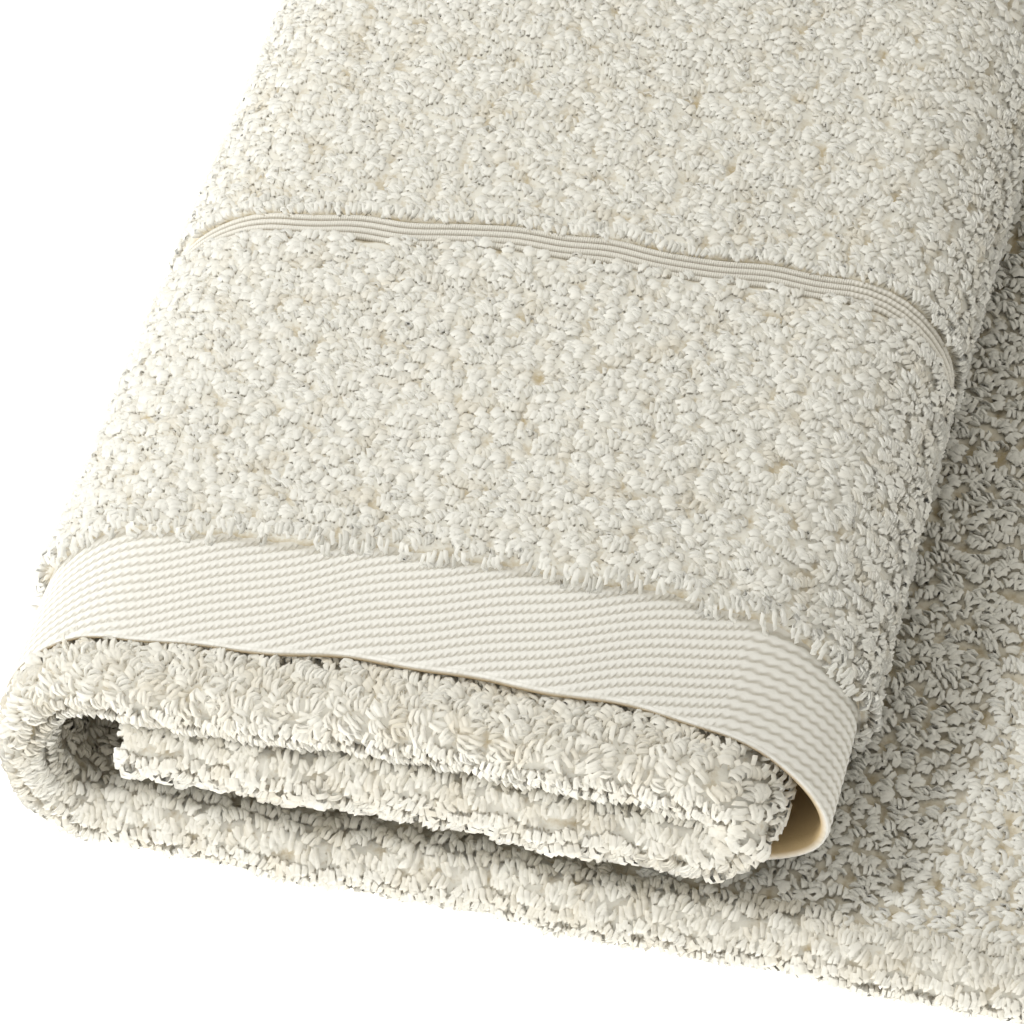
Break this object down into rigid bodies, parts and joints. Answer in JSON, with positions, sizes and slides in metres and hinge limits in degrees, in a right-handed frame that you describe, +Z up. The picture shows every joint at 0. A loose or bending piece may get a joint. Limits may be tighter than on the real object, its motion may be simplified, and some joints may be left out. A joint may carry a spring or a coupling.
{
  "type": "folded hand towel",
  "caption": "Hand towel of thick looped terry cotton with flat hems and ribbed border bands, folded lengthwise and crosswise into a soft stack for a shelf or washstand.",
  "frame": {"origin": "On the surface that the towel rests on, under the middle of its bounding box.", "axes": "+Y runs from the front fold, where the hem shows, to the back fold; +X runs from the wide left turn to the side where the bottom layer lies open; +Z is up, through the layers."},
  "size_m": [0.1794, 0.2706, 0.0454],
  "materials": {
    "terry_cotton": "undyed cream cotton with long soft loops on both faces, flat twill hems, matte"
  },
  "bodies": {
    "root": {"terry_towel": "terry_cotton"}
  },
  "joints": []
}
